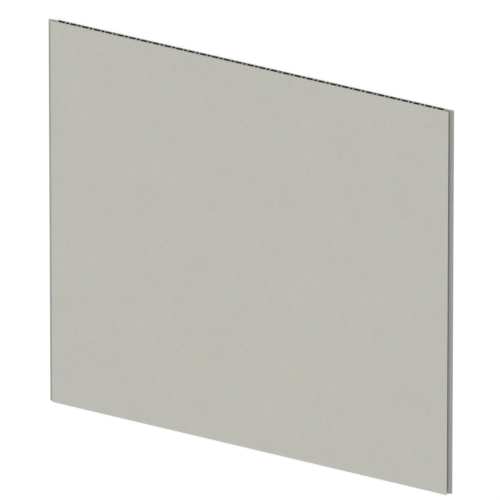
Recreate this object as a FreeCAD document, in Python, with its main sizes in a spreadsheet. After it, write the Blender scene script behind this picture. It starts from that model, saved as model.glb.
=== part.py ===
"""Decorative wall panel: one hollow extrusion, 600 mm of cover by 8 mm, cut to length.

The panel lies flat: +Z is the decorative face's outward normal, X crosses the cells and Y runs along
the extrusion. The tongue is at -X and the groove at +X. The document's origin is the centre of the
outline on the back plane. All sizes are millimetres.
"""
import FreeCAD, Part
import math
import os

import Sketcher

PANEL = "wall_panel"

# The driving sizes: alias, value and what it measures.
SIZES = [
    ("cover_width", 600.0, "width of the decorative face, which is the spacing of joined panels"),
    ("panel_length", 600.0, "cut length along the extrusion"),
    ("thickness", 8.0, "back plane to decorative face"),
    ("skin", 1.85, "front wall and back wall over the cells"),
    ("long_cell", 10.0, "clear width of a wide cell"),
    ("short_cell", 4.55, "clear width of a narrow cell"),
    ("rib", 1.65, "wall between two cells, and the least wall outside the end cells"),
    ("cell_corner_radius", 0.4, "inside corner of a cell"),
    ("tongue_reach", 4.0, "how far the tongue stands out past the face's edge"),
    ("tongue_end_gap", 2.5, "from a seated tongue's tip to the bottom of the groove"),
    ("tongue_front_gap", 0.55, "between a seated tongue and the groove's front lip"),
    ("tongue_back_gap", 0.7, "between a seated tongue and the flange"),
    ("tongue_web", 1.25, "wall behind the slot at the tongue's root"),
    ("slot_side_wall", 2.35, "from the face's edge to the slot at the tongue's root"),
    ("flange_reach", 5.1, "how far the back flange stands out past the face's edge"),
    ("flange_thickness", 2.8, "back plane to the flange's front"),
    ("flange_end_gap", 3.4, "from a seated flange's end to the next panel's back wall"),
    ("edge_radius", 0.4, "rounding of the long outer edges"),
]

# Upright walls, as distances from the tongue's tip.
TONGUE_TIP = "0"
FACE_START = "sizes.tongue_reach"
REBATE_WALL = f"{FACE_START} + sizes.flange_reach + sizes.flange_end_gap"
FACE_END = f"{FACE_START} + sizes.cover_width"
GROOVE_BOTTOM = f"{FACE_END} - sizes.tongue_reach - sizes.tongue_end_gap"
FLANGE_END = f"{FACE_END} + sizes.flange_reach"
SLOT_START = f"{FACE_START} + sizes.slot_side_wall"

# Level walls, as heights above the back plane.
BACK = "0"
FACE = "sizes.thickness"
CELL_FLOOR = "sizes.skin"
CELL_CEILING = "sizes.thickness - sizes.skin"
FLANGE_TOP = "sizes.flange_thickness"
TONGUE_UNDERSIDE = f"{FLANGE_TOP} + sizes.tongue_back_gap"
TONGUE_TOP = f"{CELL_CEILING} - sizes.tongue_front_gap"
SLOT_FLOOR = f"{TONGUE_UNDERSIDE} + sizes.tongue_web"

# The outline's walls in order round the section, upright and level by turns.
OUTLINE = [
    ("tongue_tip", TONGUE_TIP), ("tongue_top", TONGUE_TOP),
    ("face_start", FACE_START), ("face", FACE),
    ("face_end", FACE_END), ("lip_underside", CELL_CEILING),
    ("groove_bottom", GROOVE_BOTTOM), ("flange_top", FLANGE_TOP),
    ("flange_end", FLANGE_END), ("back", BACK),
    ("rebate_wall", REBATE_WALL), ("tongue_underside", TONGUE_UNDERSIDE),
]
# The outline's outer corners, where an upright wall meets a level one.
ROUNDED_CORNERS = [
    (TONGUE_TIP, TONGUE_TOP), (TONGUE_TIP, TONGUE_UNDERSIDE),
    (FACE_START, FACE), (FACE_END, FACE), (FACE_END, CELL_CEILING),
    (FLANGE_END, FLANGE_TOP), (FLANGE_END, BACK), (REBATE_WALL, BACK),
]
# A rounding takes less than half of the thinnest wall that it is on, which is the tongue or the lip.
EDGE_RADIUS = f"min(sizes.edge_radius; 0.45 * ({TONGUE_TOP} - ({TONGUE_UNDERSIDE})); 0.45 * sizes.skin)"
CELL_RADIUS = f"min(sizes.cell_corner_radius; 0.45 * ({CELL_CEILING} - {CELL_FLOOR}))"

# Wide and narrow cells take turns, with a wide one at each end. As many are used as fit between the
# rebate's wall and the groove's bottom, and the two end walls share what is left over.
CELL_PITCH = "(sizes.long_cell + sizes.short_cell + 2 * sizes.rib)"
CELL_ROOM = f"({GROOVE_BOTTOM} - ({REBATE_WALL}))"
LONG_CELL_COUNT = f"floor(({CELL_ROOM} + sizes.short_cell) / {CELL_PITCH})"
SHORT_CELL_COUNT = f"({LONG_CELL_COUNT} - 1)"
CELLS_SPAN = f"({LONG_CELL_COUNT} * {CELL_PITCH} - sizes.short_cell - 2 * sizes.rib)"
LONG_CELL_START = f"{REBATE_WALL} + ({CELL_ROOM} - {CELLS_SPAN}) / 2"
SHORT_CELL_START = f"{LONG_CELL_START} + sizes.long_cell + sizes.rib"

ORIGIN_POINT = (-1, 1)
LEVEL_AXIS, UPRIGHT_AXIS = -1, -2
START, END = 1, 2


def make_size_sheet(doc):
    """Writes each driving size in a row of its own: its name, its value under an alias, and its meaning."""
    sheet = doc.addObject("Spreadsheet::Sheet", "sizes")
    for row, (alias, value, meaning) in enumerate(SIZES, start=1):
        sheet.set(f"A{row}", alias)
        sheet.set(f"B{row}", str(value))
        sheet.setAlias(f"B{row}", alias)
        sheet.set(f"C{row}", meaning)
    doc.recompute()


def origin_feature(body, role):
    """The body's own origin plane or axis with this role."""
    return next(f for f in body.Origin.OriginFeatures if f.Role == role)


def section_sketch(body, name):
    """An empty sketch on the body's XZ plane, where the section is drawn."""
    sketch = body.newObject("Sketcher::SketchObject", name)
    sketch.AttachmentSupport = [(origin_feature(body, "XZ_Plane"), "")]
    sketch.MapMode = "FlatFace"
    return sketch


def bind(sketch, constraint, name, expression):
    """Adds a named dimension and ties it to an expression on the sheet."""
    index = sketch.addConstraint(constraint)
    sketch.renameConstraint(index, name)
    sketch.setExpression(f"Constraints.{name}", expression)


def hold_wall(sketch, line, name, expression, value, upright):
    """Keeps a line upright or level, as far from the tongue's tip or the back as the expression says."""
    sketch.addConstraint(Sketcher.Constraint("Vertical" if upright else "Horizontal", line))
    if value == 0:
        axis = UPRIGHT_AXIS if upright else LEVEL_AXIS
        sketch.addConstraint(Sketcher.Constraint("PointOnObject", line, START, axis))
        return
    kind = "DistanceX" if upright else "DistanceY"
    bind(sketch, Sketcher.Constraint(kind, *ORIGIN_POINT, line, START, value), name, expression)


def draw_stepped_loop(sketch, walls):
    """A closed loop of straight walls, upright and level by turns, the first one upright."""
    places = [sketch.evalExpression(expression) for _, expression in walls]
    count = len(walls)
    for i in range(count):
        before, own, after = places[i - 1], places[i], places[(i + 1) % count]
        ends = [(own, before), (own, after)] if i % 2 == 0 else [(before, own), (after, own)]
        points = [FreeCAD.Vector(x, z, 0) for x, z in ends]
        sketch.addGeometry(Part.LineSegment(*points), False)
    for i, (name, expression) in enumerate(walls):
        sketch.addConstraint(Sketcher.Constraint("Coincident", i, END, (i + 1) % count, START))
        hold_wall(sketch, i, name, expression, places[i], upright=i % 2 == 0)


def draw_rounded_cell(sketch, left, width, floor, ceiling, radius):
    """A rectangle with rounded corners. Its left side, width, two levels and radius are expressions."""
    x0, z0, z1, r = (sketch.evalExpression(e) for e in (left, floor, ceiling, radius))
    x1 = x0 + sketch.evalExpression(width)
    up = FreeCAD.Vector(0, 0, 1)
    # anticlockwise from the lower side's left end: each side, then the corner after it
    sides = [((x0 + r, z0), (x1 - r, z0)), ((x1, z0 + r), (x1, z1 - r)),
             ((x1 - r, z1), (x0 + r, z1)), ((x0, z1 - r), (x0, z0 + r))]
    centres = [(x1 - r, z0 + r), (x1 - r, z1 - r), (x0 + r, z1 - r), (x0 + r, z0 + r)]
    for i, (side, centre) in enumerate(zip(sides, centres)):
        sketch.addGeometry(Part.LineSegment(*(FreeCAD.Vector(*p, 0) for p in side)), False)
        circle = Part.Circle(FreeCAD.Vector(*centre, 0), up, r)
        sketch.addGeometry(Part.ArcOfCircle(circle, (i - 1) * math.pi / 2, i * math.pi / 2), False)
    for i in range(4):
        side, corner, next_side = 2 * i, 2 * i + 1, (2 * i + 2) % 8
        sketch.addConstraint(Sketcher.Constraint("Tangent", side, END, corner, START))
        sketch.addConstraint(Sketcher.Constraint("Tangent", corner, END, next_side, START))
        sketch.addConstraint(Sketcher.Constraint("Vertical" if i % 2 else "Horizontal", side))
        if i:
            sketch.addConstraint(Sketcher.Constraint("Equal", 1, corner))
    lower, right, upper, left_side = 0, 2, 4, 6
    bind(sketch, Sketcher.Constraint("Radius", 1, r), "radius", radius)
    for name, kind, line, value, expression in [
        ("left", "DistanceX", left_side, x0, left),
        ("right", "DistanceX", right, x1, f"{left} + {width}"),
        ("floor", "DistanceY", lower, z0, floor),
        ("ceiling", "DistanceY", upper, z1, ceiling),
    ]:
        bind(sketch, Sketcher.Constraint(kind, *ORIGIN_POINT, line, START, value), name, expression)


def pad_section(body, sketch, name):
    """Extrudes the section to the panel's length, half of it each side of the middle."""
    pad = body.newObject("PartDesign::Pad", name)
    pad.Profile = sketch
    pad.SideType = "Symmetric"
    pad.setExpression("Length", "sizes.panel_length")
    return pad


def pocket_through(body, sketch, name):
    """Cuts the sketch's shape along the whole panel, out of both ends."""
    pocket = body.newObject("PartDesign::Pocket", name)
    pocket.Profile = sketch
    pocket.Type = "ThroughAll"
    pocket.SideType = "Symmetric"
    return pocket


def repeat_across(body, pocket, name, count):
    """Repeats a cell across the panel, one pitch apart."""
    pattern = body.newObject("PartDesign::LinearPattern", name)
    pattern.Originals = [pocket]
    pattern.Direction = (origin_feature(body, "X_Axis"), [""])
    pattern.Mode = "Spacing"
    pattern.setExpression("Offset", CELL_PITCH)
    pattern.setExpression("Occurrences", count)
    body.Tip = pattern
    return pattern


def long_edges_at(feature, corners):
    """Names of the feature's edges that run along Y through these (x, z) corners of the section."""
    wanted = [tuple(feature.evalExpression(e) for e in corner) for corner in corners]
    names = []
    for number, edge in enumerate(feature.Shape.Edges, start=1):
        ends = [v.Point for v in edge.Vertexes]
        along_y = len(ends) == 2 and abs(ends[0].x - ends[1].x) + abs(ends[0].z - ends[1].z) < 1e-6
        if along_y and any(abs(ends[0].x - x) + abs(ends[0].z - z) < 1e-6 for x, z in wanted):
            names.append(f"Edge{number}")
    if len(names) != len(corners):
        raise RuntimeError(f"found {len(names)} of the {len(corners)} edges to round")
    return names


def round_edges(body, feature, name):
    """Rounds the long outer edges of the section."""
    fillet = body.newObject("PartDesign::Fillet", name)
    fillet.Base = (feature, long_edges_at(feature, ROUNDED_CORNERS))
    fillet.setExpression("Radius", EDGE_RADIUS)
    return fillet


def check_cut(doc, body, volume_before, sketch, count):
    """Stops unless the last cut took out its sketch's area, count times, along the whole panel."""
    doc.recompute()
    area = Part.Face(Part.Wire(Part.sortEdges(sketch.Shape.Edges)[0])).Area
    expected = area * count * sketch.evalExpression("sizes.panel_length")
    taken = volume_before - body.Shape.Volume
    if abs(taken - expected) > 1e-3 * expected:
        raise RuntimeError(f"{sketch.Label}: cut {taken:.0f} cubic mm and not {expected:.0f}")
    return body.Shape.Volume


def cut_cells(doc, body, name, left, width, count, volume):
    """Cuts one kind of cell and repeats it across the panel. Returns the volume that is left."""
    sketch = section_sketch(body, f"{name}_section")
    draw_rounded_cell(sketch, left, width, CELL_FLOOR, CELL_CEILING, CELL_RADIUS)
    doc.recompute()
    pocket = pocket_through(body, sketch, name)
    doc.recompute()
    repeat_across(body, pocket, f"{name}s", count)
    return check_cut(doc, body, volume, sketch, int(sketch.evalExpression(count)))


def make_panel(doc):
    """The extruded panel: its stepped outline, the slot at the tongue's root and the two kinds of cell."""
    body = doc.addObject("PartDesign::Body", PANEL)
    body.Label = PANEL
    outline = section_sketch(body, "outline")
    draw_stepped_loop(outline, OUTLINE)
    doc.recompute()
    extrusion = pad_section(body, outline, "extrusion")
    doc.recompute()
    round_edges(body, extrusion, "long_edges")
    doc.recompute()
    volume = body.Shape.Volume

    slot = section_sketch(body, "tongue_slot_section")
    draw_stepped_loop(slot, [("slot_start", SLOT_START), ("slot_ceiling", CELL_CEILING),
                             ("slot_end", REBATE_WALL), ("slot_floor", SLOT_FLOOR)])
    doc.recompute()
    pocket_through(body, slot, "tongue_slot")
    volume = check_cut(doc, body, volume, slot, 1)

    volume = cut_cells(doc, body, "long_cell", LONG_CELL_START, "sizes.long_cell", LONG_CELL_COUNT, volume)
    cut_cells(doc, body, "short_cell", SHORT_CELL_START, "sizes.short_cell", SHORT_CELL_COUNT, volume)

    # the sketches start at the tongue's tip, and the finished body is centred on the origin
    body.setExpression("Placement.Base.x", f"-({FLANGE_END}) / 2")
    return body


def check_document(doc, body):
    """Stops at any failed feature, or unless the body is one valid solid."""
    doc.recompute()
    for item in doc.Objects:
        if "Invalid" in item.State or "Error" in item.State:
            raise RuntimeError(f"{item.Label} failed: {item.State}")
    shape = body.Shape
    if shape.isNull() or not shape.isValid() or len(shape.Solids) != 1:
        raise RuntimeError(f"{body.Label} isn't one valid solid")


def main():
    doc = FreeCAD.newDocument("decorative_wall_panel")
    make_size_sheet(doc)
    body = make_panel(doc)
    check_document(doc, body)
    os.makedirs("parts", exist_ok=True)
    body.Shape.exportStep(f"parts/{PANEL}.step")

    box = body.Shape.BoundBox
    print(f"{PANEL}: {box.XLength:.2f} x {box.YLength:.2f} x {box.ZLength:.2f} mm, "
          f"x {box.XMin:.2f} to {box.XMax:.2f}, z {box.ZMin:.2f} to {box.ZMax:.2f}")
    print(f"volume {body.Shape.Volume / 1000:.1f} cubic cm, "
          f"{int(body.evalExpression(LONG_CELL_COUNT))} wide and "
          f"{int(body.evalExpression(SHORT_CELL_COUNT))} narrow cells")


main()
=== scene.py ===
"""Decorative wall panel: the finishes of one hollow extruded panel, and a plain white stage.

The panel lies on its back with the decorative face up. X crosses the cells and Y runs along the
extrusion. Everything is in metres.
"""
import math

import bpy
from mathutils import Matrix, Vector


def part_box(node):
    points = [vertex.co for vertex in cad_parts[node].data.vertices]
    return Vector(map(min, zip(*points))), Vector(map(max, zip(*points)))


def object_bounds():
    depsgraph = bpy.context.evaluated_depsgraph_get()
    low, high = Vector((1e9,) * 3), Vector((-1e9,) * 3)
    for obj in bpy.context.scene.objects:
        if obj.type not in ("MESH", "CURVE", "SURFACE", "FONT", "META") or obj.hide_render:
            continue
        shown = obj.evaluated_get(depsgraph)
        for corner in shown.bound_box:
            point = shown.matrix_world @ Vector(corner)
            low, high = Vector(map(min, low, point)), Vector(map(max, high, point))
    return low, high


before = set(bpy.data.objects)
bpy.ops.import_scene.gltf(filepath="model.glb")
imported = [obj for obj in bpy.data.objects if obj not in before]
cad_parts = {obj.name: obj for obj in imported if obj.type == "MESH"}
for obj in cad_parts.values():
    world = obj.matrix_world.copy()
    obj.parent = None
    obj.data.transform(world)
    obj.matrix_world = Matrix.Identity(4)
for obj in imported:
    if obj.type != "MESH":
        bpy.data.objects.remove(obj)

bl_info = {
    "name": "Decorative Wall Panel",
    "version": (1, 0, 0),
    "blender": (4, 5, 0),
    "location": "View3D > Sidebar > Wall Panel",
    "description": "Finishes a hollow extruded wall panel and sets it on a plain white stage",
    "category": "Object",
}

CAD_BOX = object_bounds()
PANEL_NODE = "wall_panel"
MILLIMETRE = 0.001

# Noise lies between 0 and 1, about this middle.
NOISE_MIDDLE = 0.5
# A Mix node repeats its socket names for each type of value. These are the ones for colours.
MIX_SHARE, MIX_FIRST, MIX_SECOND, MIX_RESULT = 0, 6, 7, 2
# Above this much noise a fibre starts to show, and it is fully there a little above that.
FIBRE_THRESHOLD, FIBRE_SHARPNESS = 0.55, 2.2
# How sharply the film's two tones part.
DRIFT_SHARPNESS = 2.5
# Length of a saw mark through the panel's thickness, and its depth along Y, far more than shows.
SAW_MARK_LENGTH, SAW_MARK_DEPTH = 9 * MILLIMETRE, 1.0
# Corners of the section that agree to this many decimals of a metre are the same.
CORNER_DECIMALS = 5
# How far a level face may be from its height.
LEVEL_TOLERANCE = 1e-6
WHITE = (1.0, 1.0, 1.0, 1.0)


# ---------------------------------------------------------------- shader building

class Wire:
    """A socket of a shader tree, on which + - * and > add Math nodes."""

    def __init__(self, tree, socket):
        self.tree = tree
        self.socket = socket

    def maths(self, operation, *values):
        return self.tree.add("ShaderNodeMath", {"operation": operation}, dict(enumerate(values)))

    def __add__(self, other):
        return self.maths("ADD", self, other)

    def __sub__(self, other):
        return self.maths("SUBTRACT", self, other)

    def __rsub__(self, other):
        return self.maths("SUBTRACT", other, self)

    def __mul__(self, other):
        return self.maths("MULTIPLY", self, other)

    def __gt__(self, other):
        return self.maths("GREATER_THAN", self, other)

    __radd__ = __add__
    __rmul__ = __mul__

    def or_else(self, other):
        """The larger of two masks."""
        return self.maths("MAXIMUM", self, other)


class ShaderTree:
    """The nodes of one material or world."""

    def __init__(self, owner):
        owner.use_nodes = True
        self.nodes = owner.node_tree.nodes
        self.links = owner.node_tree.links
        self.nodes.clear()

    def add(self, kind, settings=None, inputs=None, output=0):
        """Adds a node, feeds its sockets values or wires, and returns one of its outputs."""
        node = self.nodes.new(kind)
        for name, value in (settings or {}).items():
            setattr(node, name, value)
        for name, value in (inputs or {}).items():
            if isinstance(value, Wire):
                self.links.new(value.socket, node.inputs[name])
            else:
                node.inputs[name].default_value = value
        return Wire(self, node.outputs[output]) if node.outputs else None

    def place(self):
        """Where a point lies on the piece, in metres."""
        return self.add("ShaderNodeTexCoord", output="Object")

    def axis(self, name):
        """One coordinate of that place."""
        return self.add("ShaderNodeSeparateXYZ", inputs={"Vector": self.place()}, output=name)

    def noise(self, grain, detail=2.0, roughness=0.5, shift=0.0):
        """Cloudy noise from 0 to 1, whose blotches measure grain along X, Y and Z."""
        stretched = self.add("ShaderNodeMapping", inputs={
            "Vector": self.place(),
            "Location": (shift, shift, shift),
            "Scale": tuple(1.0 / size for size in grain),
        })
        return self.add("ShaderNodeTexNoise", {"noise_dimensions": "3D"}, {
            "Vector": stretched, "Scale": 1.0, "Detail": detail, "Roughness": roughness,
        }, output="Fac")

    def mix(self, share, first, second):
        """One colour going over to another."""
        return self.add("ShaderNodeMix", {"data_type": "RGBA"},
                        {MIX_SHARE: share, MIX_FIRST: first, MIX_SECOND: second}, output=MIX_RESULT)

    def brighten(self, colour, factor):
        """A colour made lighter or darker by a number."""
        return self.add("ShaderNodeVectorMath", {"operation": "SCALE"},
                        {0: colour, "Scale": factor})

    def bump(self, height, distance):
        """The normal of a surface that rises by distance where height is 1."""
        return self.add("ShaderNodeBump", inputs={
            "Strength": 1.0, "Distance": distance, "Height": height,
        })


def opaque(colour):
    """A colour with full alpha, for sockets that want four numbers."""
    return (*colour, 1.0)


def even(size):
    """The same grain along all three axes."""
    return (size, size, size)


def vary(value, noise, spread):
    """A value that noise moves up and down, by half the spread each way."""
    return value + (noise - NOISE_MIDDLE) * spread


def new_finish(name, build, *details):
    """A material whose Principled shader takes what build returns for its sockets."""
    material = bpy.data.materials.new(name)
    tree = ShaderTree(material)
    surface = tree.add("ShaderNodeBsdfPrincipled", inputs=build(tree, *details))
    tree.add("ShaderNodeOutputMaterial", inputs={"Surface": surface})
    return material


# ---------------------------------------------------------------- settings

class WALLPANEL_PG_film(bpy.types.PropertyGroup):
    """The matt decorative film on the face."""

    warm_tone: bpy.props.FloatVectorProperty(
        name="Warm Tone", description="Colour of the film where it leans to yellow",
        subtype="COLOR", size=3, default=(0.512, 0.503, 0.446))
    cool_tone: bpy.props.FloatVectorProperty(
        name="Cool Tone", description="Colour of the film where it leans to violet",
        subtype="COLOR", size=3, default=(0.505, 0.500, 0.468))
    drift_size: bpy.props.FloatProperty(
        name="Drift Size", description="Width of the areas that lean warm or cool",
        unit="LENGTH", default=22 * MILLIMETRE)
    cloud_size: bpy.props.FloatProperty(
        name="Cloud Size", description="Width of the soft light and dark clouds",
        unit="LENGTH", default=60 * MILLIMETRE)
    cloud_contrast: bpy.props.FloatProperty(
        name="Cloud Contrast", description="How much the clouds change the brightness",
        default=0.06)
    speck_size: bpy.props.FloatProperty(
        name="Speck Size", description="Width of the fine specks in the print",
        unit="LENGTH", default=5 * MILLIMETRE)
    speck_contrast: bpy.props.FloatProperty(
        name="Speck Contrast", description="How much the specks change the brightness",
        default=0.16)
    grain_size: bpy.props.FloatProperty(
        name="Emboss Grain", description="Width of the grains that the film is embossed with",
        unit="LENGTH", default=0.9 * MILLIMETRE)
    grain_height: bpy.props.FloatProperty(
        name="Emboss Height", description="Height of the embossed grains",
        unit="LENGTH", default=0.06 * MILLIMETRE)
    grain_contrast: bpy.props.FloatProperty(
        name="Emboss Contrast", description="How much the emboss changes the brightness",
        default=0.10)
    wrap_depth: bpy.props.FloatProperty(
        name="Wrap Depth", description="How far the film is wrapped down the face's long edges",
        unit="LENGTH", default=2.2 * MILLIMETRE)
    thickness: bpy.props.FloatProperty(
        name="Film Thickness", description="Thickness of the film, a line along the cut ends",
        unit="LENGTH", default=0.18 * MILLIMETRE)
    roughness: bpy.props.FloatProperty(
        name="Roughness", description="Roughness of the matt film", subtype="FACTOR", default=0.62)
    roughness_spread: bpy.props.FloatProperty(
        name="Roughness Spread", description="How much the specks change the roughness",
        default=0.12)


class WALLPANEL_PG_core(bpy.types.PropertyGroup):
    """The extruded wood-fibre and plastic composite that the panel is made of."""

    colour: bpy.props.FloatVectorProperty(
        name="Composite Colour", description="Colour of the extruded surfaces",
        subtype="COLOR", size=3, default=(0.355, 0.352, 0.331))
    fibre_colour: bpy.props.FloatVectorProperty(
        name="Fibre Colour", description="Colour of the fibres that show on the extruded surfaces",
        subtype="COLOR", size=3, default=(0.290, 0.276, 0.240))
    # Painted light: the cut ends' ground is lighter than the extruded composite's, a lit copy of
    # the same composite that brings the cut ends up to the face's brightness. The saw marks and cut
    # fibres are the composite's own.
    sawn_colour_with_painted_light: bpy.props.FloatVectorProperty(
        name="Sawn Colour With Painted Light", description="Colour of the composite where the saw has cut it",
        subtype="COLOR", size=3, default=(0.415, 0.410, 0.379))
    sawn_fibre_colour: bpy.props.FloatVectorProperty(
        name="Sawn Fibre Colour", description="Colour of the fibres that show on the cut ends",
        subtype="COLOR", size=3, default=(0.295, 0.275, 0.226))
    # Painted shade: the cell walls are painted near black, standing in for the shade deep in the
    # cells.
    painted_cell_shade: bpy.props.FloatVectorProperty(
        name="Painted Cell Shade", description="Colour of the walls inside the cells",
        subtype="COLOR", size=3, default=(0.018, 0.018, 0.017))
    cloud_size: bpy.props.FloatProperty(
        name="Cloud Size", description="Width of the light and dark clouds in the composite",
        unit="LENGTH", default=30 * MILLIMETRE)
    cloud_contrast: bpy.props.FloatProperty(
        name="Cloud Contrast", description="How much the clouds change the brightness",
        default=0.14)
    die_line_pitch: bpy.props.FloatProperty(
        name="Die Line Pitch", description="Spacing of the fine lines that the die leaves",
        unit="LENGTH", default=1.1 * MILLIMETRE)
    die_line_length: bpy.props.FloatProperty(
        name="Die Line Length", description="Length over which a die line comes and goes",
        unit="LENGTH", default=260 * MILLIMETRE)
    die_line_height: bpy.props.FloatProperty(
        name="Die Line Height", description="Height of the die lines",
        unit="LENGTH", default=0.03 * MILLIMETRE)
    die_line_contrast: bpy.props.FloatProperty(
        name="Die Line Contrast", description="How much the die lines change the brightness",
        default=0.16)
    fibre_length: bpy.props.FloatProperty(
        name="Fibre Length", description="Length of a fibre, along the extrusion",
        unit="LENGTH", default=3.5 * MILLIMETRE)
    fibre_width: bpy.props.FloatProperty(
        name="Fibre Width", description="Width of a fibre",
        unit="LENGTH", default=0.7 * MILLIMETRE)
    saw_mark_pitch: bpy.props.FloatProperty(
        name="Saw Mark Pitch", description="Spacing of the marks that the saw leaves",
        unit="LENGTH", default=0.8 * MILLIMETRE)
    saw_mark_height: bpy.props.FloatProperty(
        name="Saw Mark Height", description="Height of the saw marks",
        unit="LENGTH", default=0.08 * MILLIMETRE)
    saw_mark_contrast: bpy.props.FloatProperty(
        name="Saw Mark Contrast", description="How much the saw marks change the brightness",
        default=0.22)


class WALLPANEL_PG_stage(bpy.types.PropertyGroup):
    """The floor, the light and the camera."""

    floor_width: bpy.props.FloatProperty(
        name="Floor Width", description="Side of the square floor", unit="LENGTH", default=24.0)
    floor_tone: bpy.props.FloatProperty(
        name="Floor Tone", description="How much light the floor gives back",
        subtype="FACTOR", default=0.88)
    floor_lift: bpy.props.FloatProperty(
        name="Floor Lift", description="Brightness that is added where the floor is seen",
        default=0.24)
    sky_strength: bpy.props.FloatProperty(
        name="Ambient Light", description="Strength of the even light from all round",
        default=0.565)
    key_strength: bpy.props.FloatProperty(
        name="Key Light", description="Strength of the soft lamp above the far cut end",
        default=1.45)
    key_softness: bpy.props.FloatProperty(
        name="Key Softness", description="Angle that the soft lamp fills", subtype="ANGLE",
        default=math.radians(35))
    key_from: bpy.props.FloatVectorProperty(
        name="Key Direction", description="Direction from the panel to the lamp",
        subtype="DIRECTION", size=3, default=(0.10, 0.50, 0.86))
    view_azimuth: bpy.props.FloatProperty(
        name="View Azimuth", description="Turn of the view towards the groove's side",
        subtype="ANGLE", default=math.radians(25.39))
    view_elevation: bpy.props.FloatProperty(
        name="View Elevation", description="Rise of the view towards the far cut end",
        subtype="ANGLE", default=math.radians(29.42))
    view_width: bpy.props.FloatProperty(
        name="View Width", description="Width that the view takes in at the panel",
        unit="LENGTH", default=684.1 * MILLIMETRE)
    view_rise: bpy.props.FloatProperty(
        name="View Rise", description="How far past the panel's middle the view aims, along Y",
        unit="LENGTH", default=13.4 * MILLIMETRE)
    view_side: bpy.props.FloatProperty(
        name="View Side", description="How far past the panel's middle the view aims, along X",
        unit="LENGTH", default=1.6 * MILLIMETRE)
    lens: bpy.props.FloatProperty(
        name="Lens", description="Long lens, so that parallel edges stay parallel",
        unit="CAMERA", default=1700.0)


# ---------------------------------------------------------------- reading the panel's section

def is_cut_end(face):
    """True on a face that the saw made."""
    return abs(face.normal.y) > 0.5


def section_loops(mesh):
    """The long walls, grouped by the closed loop of the section that they are on, outline first."""
    leads_to = {}

    def corners(face):
        points = (mesh.vertices[i].co for i in face.vertices)
        return [(round(p.x, CORNER_DECIMALS), round(p.z, CORNER_DECIMALS)) for p in points]

    def last(corner):
        while leads_to[corner] != corner:
            leads_to[corner] = corner = leads_to[leads_to[corner]]
        return corner

    walls = [face for face in mesh.polygons if not is_cut_end(face)]
    for face in walls:
        for corner in corners(face):
            leads_to.setdefault(corner, corner)
        first, *others = corners(face)
        for corner in others:
            leads_to[last(corner)] = last(first)
    loops = {}
    for face in walls:
        loops.setdefault(last(corners(face)[0]), []).append(face)

    def width(loop):
        across = [x for face in loop for x, _ in corners(face)]
        return max(across) - min(across)

    return sorted(loops.values(), key=width, reverse=True)


def film_faces(mesh, outline, wrap_depth):
    """The decorative face, and what the film covers of the edges beside it."""
    top = max(vertex.co.z for vertex in mesh.vertices)
    flat = [face for face in outline if face.center.z > top - LEVEL_TOLERANCE]
    across = [mesh.vertices[i].co.x for face in flat for i in face.vertices]
    left, right = min(across), max(across)
    beside = [face for face in outline if face.center.z > top - wrap_depth
              and not left < face.center.x < right]
    return flat + beside


# ---------------------------------------------------------------- finishes

def film_surface(tree, film):
    """A matt printed film with faint clouds and specks, two tones and a fine embossed grain."""
    clouds = tree.noise(even(film.cloud_size), detail=3.0)
    specks = tree.noise(even(film.speck_size), detail=3.0, roughness=0.6, shift=7.0)
    drift = tree.noise(even(film.drift_size), detail=2.0, shift=19.0)
    grain = tree.noise(even(film.grain_size), detail=2.0, shift=31.0)
    share = vary(NOISE_MIDDLE, drift, DRIFT_SHARPNESS)
    tone = tree.mix(share, opaque(film.cool_tone), opaque(film.warm_tone))
    light = vary(1.0, clouds, film.cloud_contrast)
    light = vary(light, specks, film.speck_contrast)
    light = vary(light, grain, film.grain_contrast)
    return {
        "Base Color": tree.brighten(tone, light),
        "Roughness": vary(film.roughness, specks, film.roughness_spread),
        "Normal": tree.bump(grain, film.grain_height),
        "Specular IOR Level": 0.4,
    }


def composite_colour(tree, core, ground, flecks, fibre_grain):
    """The composite's ground colour, with its fibres showing as short flecks."""
    fibres = tree.noise(fibre_grain, detail=2.0, roughness=0.6, shift=5.0)
    clouds = tree.noise(even(core.cloud_size), detail=2.0, shift=11.0)
    showing = (fibres - FIBRE_THRESHOLD) * FIBRE_SHARPNESS
    tone = tree.mix(showing, opaque(ground), opaque(flecks))
    return tree.brighten(tone, vary(1.0, clouds, core.cloud_contrast))


def die_lines(tree, core, detail):
    """Fine lines that the die draws along the panel."""
    grain = (core.die_line_pitch, core.die_line_length, core.die_line_pitch)
    return tree.noise(grain, detail=detail)


def extruded_surface(tree, core):
    """The composite as it leaves the die: fibres drawn out along it and fine die lines."""
    lines = die_lines(tree, core, detail=3.0)
    drawn_out = (core.fibre_width, core.fibre_length, core.fibre_width)
    colour = composite_colour(tree, core, core.colour, core.fibre_colour, drawn_out)
    return {
        "Base Color": tree.brighten(colour, vary(1.0, lines, core.die_line_contrast)),
        "Roughness": vary(0.55, lines, spread=0.2),
        "Normal": tree.bump(lines, core.die_line_height),
        "Specular IOR Level": 0.4,
    }


def sawn_surface_with_painted_light(tree, core, film, film_bottom):
    """A cut end: saw marks across the walls, fibres cut short, and the film's edge on top. Its
    ground colour is painted light, lighter than the extruded composite's.
    """
    mark_grain = (core.saw_mark_pitch, SAW_MARK_DEPTH, SAW_MARK_LENGTH)
    marks = tree.noise(mark_grain, detail=2.0, shift=3.0)
    cut_short = even(core.fibre_width)
    # Painted light: the cut end's ground is lighter than the extruded composite's, as if it were
    # lit more.
    colour = composite_colour(tree, core, core.sawn_colour_with_painted_light, core.sawn_fibre_colour, cut_short)
    marked = tree.brighten(colour, vary(1.0, marks, core.saw_mark_contrast))
    on_film = tree.axis("Z") > film_bottom
    return {
        "Base Color": tree.mix(on_film, marked, opaque(film.warm_tone)),
        "Roughness": vary(0.8, marks, spread=0.2),
        "Normal": tree.bump(marks, core.saw_mark_height),
        "Specular IOR Level": 0.3,
    }


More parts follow.
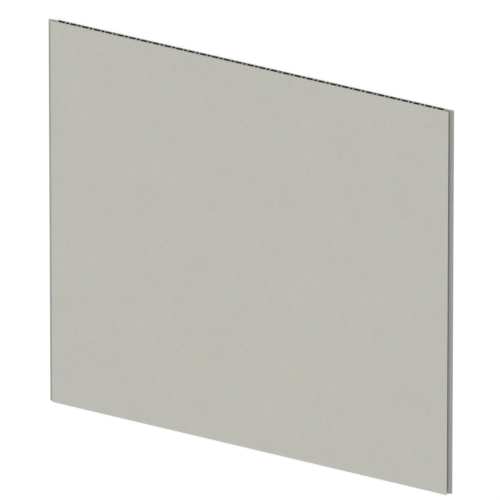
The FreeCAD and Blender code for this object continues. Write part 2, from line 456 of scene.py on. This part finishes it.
def painted_shade_cell_surface(tree, core):
    """The walls inside the cells, painted near black right out to their rims as painted shade,
    standing in for the shade deep inside the cells.
    """
    lines = die_lines(tree, core, detail=2.0)
    return {
        "Base Color": tree.brighten(tuple(core.painted_cell_shade), vary(1.0, lines, spread=0.5)),
        "Roughness": vary(0.85, lines, spread=0.1),
        "Normal": tree.bump(lines, core.die_line_height),
        "Specular IOR Level": 0.1,
    }


class WALLPANEL_OT_finish_panel(bpy.types.Operator):
    """Give the panel its film, its extruded surfaces, its cut ends lightened with painted light and
    its cells darkened with painted shade
    """

    bl_idname = "wallpanel.finish_panel"
    bl_label = "Finish Panel"

    def execute(self, context):
        film, core = context.scene.wallpanel_film, context.scene.wallpanel_core
        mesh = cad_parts[PANEL_NODE].data
        film_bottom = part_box(PANEL_NODE)[1].z - film.thickness
        finishes = {
            "extruded_composite": (extruded_surface, core),
            "decorative_film": (film_surface, film),
            "sawn_composite_with_painted_light": (sawn_surface_with_painted_light, core, film, film_bottom),
            # The cell walls take the near-black painted shade.
            "cell_wall_painted_shade": (painted_shade_cell_surface, core),
        }
        mesh.materials.clear()
        for name, recipe in finishes.items():
            mesh.materials.append(new_finish(name, *recipe))
        slot = {name: index for index, name in enumerate(finishes)}

        outline, *cells = section_loops(mesh)
        groups = {
            "sawn_composite_with_painted_light": [face for face in mesh.polygons if is_cut_end(face)],
            "extruded_composite": outline,
            "cell_wall_painted_shade": [face for cell in cells for face in cell],
            "decorative_film": film_faces(mesh, outline, film.wrap_depth),
        }
        for name, faces in groups.items():
            for face in faces:
                face.material_index = slot[name]
        return {"FINISHED"}


# ---------------------------------------------------------------- stage

def seen_directly(tree):
    """1 where a surface is shown, straight, in gloss or in glass, and 0 where it lights others."""
    path = {name: tree.add("ShaderNodeLightPath", output=name)
            for name in ("Is Camera Ray", "Is Glossy Ray", "Is Transmission Ray")}
    return path["Is Camera Ray"].or_else(path["Is Glossy Ray"]).or_else(path["Is Transmission Ray"])


def add_floor(stage):
    """A pale matt floor just under the panel, shown white and still taking its shadow."""
    bpy.ops.object.select_all(action="DESELECT")
    height = CAD_BOX[0].z - 0.1 * MILLIMETRE
    bpy.ops.mesh.primitive_plane_add(size=stage.floor_width, location=(0, 0, height))
    floor = bpy.context.object
    floor.name = "floor"
    material = bpy.data.materials.new("studio_floor")
    tree = ShaderTree(material)
    matt = tree.add("ShaderNodeBsdfDiffuse", inputs={"Color": opaque((stage.floor_tone,) * 3)})
    glow = seen_directly(tree) * stage.floor_lift
    lift = tree.add("ShaderNodeEmission", inputs={"Strength": glow})
    both = tree.add("ShaderNodeAddShader", inputs={0: matt, 1: lift})
    tree.add("ShaderNodeOutputMaterial", inputs={"Surface": both})
    floor.data.materials.append(material)


def add_sky(stage):
    """Even light from all round, shown as white."""
    world = bpy.data.worlds.new("studio_sky")
    tree = ShaderTree(world)
    ambient, white = (
        tree.add("ShaderNodeBackground", inputs={"Color": WHITE, "Strength": strength})
        for strength in (stage.sky_strength, 1.0))
    shown = tree.add("ShaderNodeMixShader", inputs={0: seen_directly(tree), 1: ambient, 2: white})
    tree.add("ShaderNodeOutputWorld", inputs={"Surface": shown})
    bpy.context.scene.world = world


def add_key_lamp(stage):
    """One large soft lamp, as even over the panel as a far window."""
    lamp = bpy.data.lights.new("key_lamp", "SUN")
    lamp.energy = stage.key_strength
    lamp.angle = stage.key_softness
    holder = bpy.data.objects.new("key_lamp", lamp)
    holder.rotation_euler = Vector(stage.key_from).to_track_quat("Z", "Y").to_euler()
    bpy.context.scene.collection.objects.link(holder)


def add_camera(stage):
    """A long lens above the panel, turned so that the extrusion runs up the view."""
    data = bpy.data.cameras.new("camera")
    data.lens = stage.lens
    distance = stage.view_width * stage.lens / data.sensor_width
    data.clip_start, data.clip_end = 0.01, 2 * distance
    turn, rise = stage.view_azimuth, stage.view_elevation
    right = Vector((math.cos(turn), 0, -math.sin(turn)))
    level = math.cos(rise)
    back = Vector((math.sin(turn) * level, math.sin(rise), math.cos(turn) * level))
    up = back.cross(right)
    low, high = CAD_BOX
    middle = (low + high) / 2
    aim = Vector((middle.x + stage.view_side, middle.y + stage.view_rise, high.z))
    camera = bpy.data.objects.new("camera", data)
    camera.matrix_world = (Matrix.Translation(aim + back * distance)
                           @ Matrix((right, up, back)).transposed().to_4x4())
    bpy.context.scene.collection.objects.link(camera)
    bpy.context.scene.camera = camera


class WALLPANEL_OT_set_stage(bpy.types.Operator):
    """Put the panel on a white floor, under soft light, in front of a long lens"""

    bl_idname = "wallpanel.set_stage"
    bl_label = "Set Stage"

    def execute(self, context):
        stage = context.scene.wallpanel_stage
        add_floor(stage)
        add_sky(stage)
        add_key_lamp(stage)
        add_camera(stage)
        context.scene.view_settings.view_transform = "Standard"
        return {"FINISHED"}


class WALLPANEL_PT_sidebar(bpy.types.Panel):
    """The panel's settings, with the button that each group of them belongs to"""

    bl_idname = "WALLPANEL_PT_sidebar"
    bl_label = "Wall Panel"
    bl_space_type = "VIEW_3D"
    bl_region_type = "UI"
    bl_category = "Wall Panel"

    def draw(self, context):
        scene = context.scene
        for groups, operator in (
            ((scene.wallpanel_film, scene.wallpanel_core), WALLPANEL_OT_finish_panel),
            ((scene.wallpanel_stage,), WALLPANEL_OT_set_stage),
        ):
            box = self.layout.box()
            for group in groups:
                for name in group.__annotations__:
                    box.prop(group, name)
            box.operator(operator.bl_idname)


CLASSES = (
    WALLPANEL_PG_film,
    WALLPANEL_PG_core,
    WALLPANEL_PG_stage,
    WALLPANEL_OT_finish_panel,
    WALLPANEL_OT_set_stage,
    WALLPANEL_PT_sidebar,
)


def register():
    for cls in CLASSES:
        bpy.utils.register_class(cls)
    bpy.types.Scene.wallpanel_film = bpy.props.PointerProperty(type=WALLPANEL_PG_film)
    bpy.types.Scene.wallpanel_core = bpy.props.PointerProperty(type=WALLPANEL_PG_core)
    bpy.types.Scene.wallpanel_stage = bpy.props.PointerProperty(type=WALLPANEL_PG_stage)


def unregister():
    del bpy.types.Scene.wallpanel_film
    del bpy.types.Scene.wallpanel_core
    del bpy.types.Scene.wallpanel_stage
    for cls in reversed(CLASSES):
        bpy.utils.unregister_class(cls)


def main():
    register()
    bpy.ops.wallpanel.finish_panel()
    bpy.ops.wallpanel.set_stage()


if __name__ == "__main__":
    main()
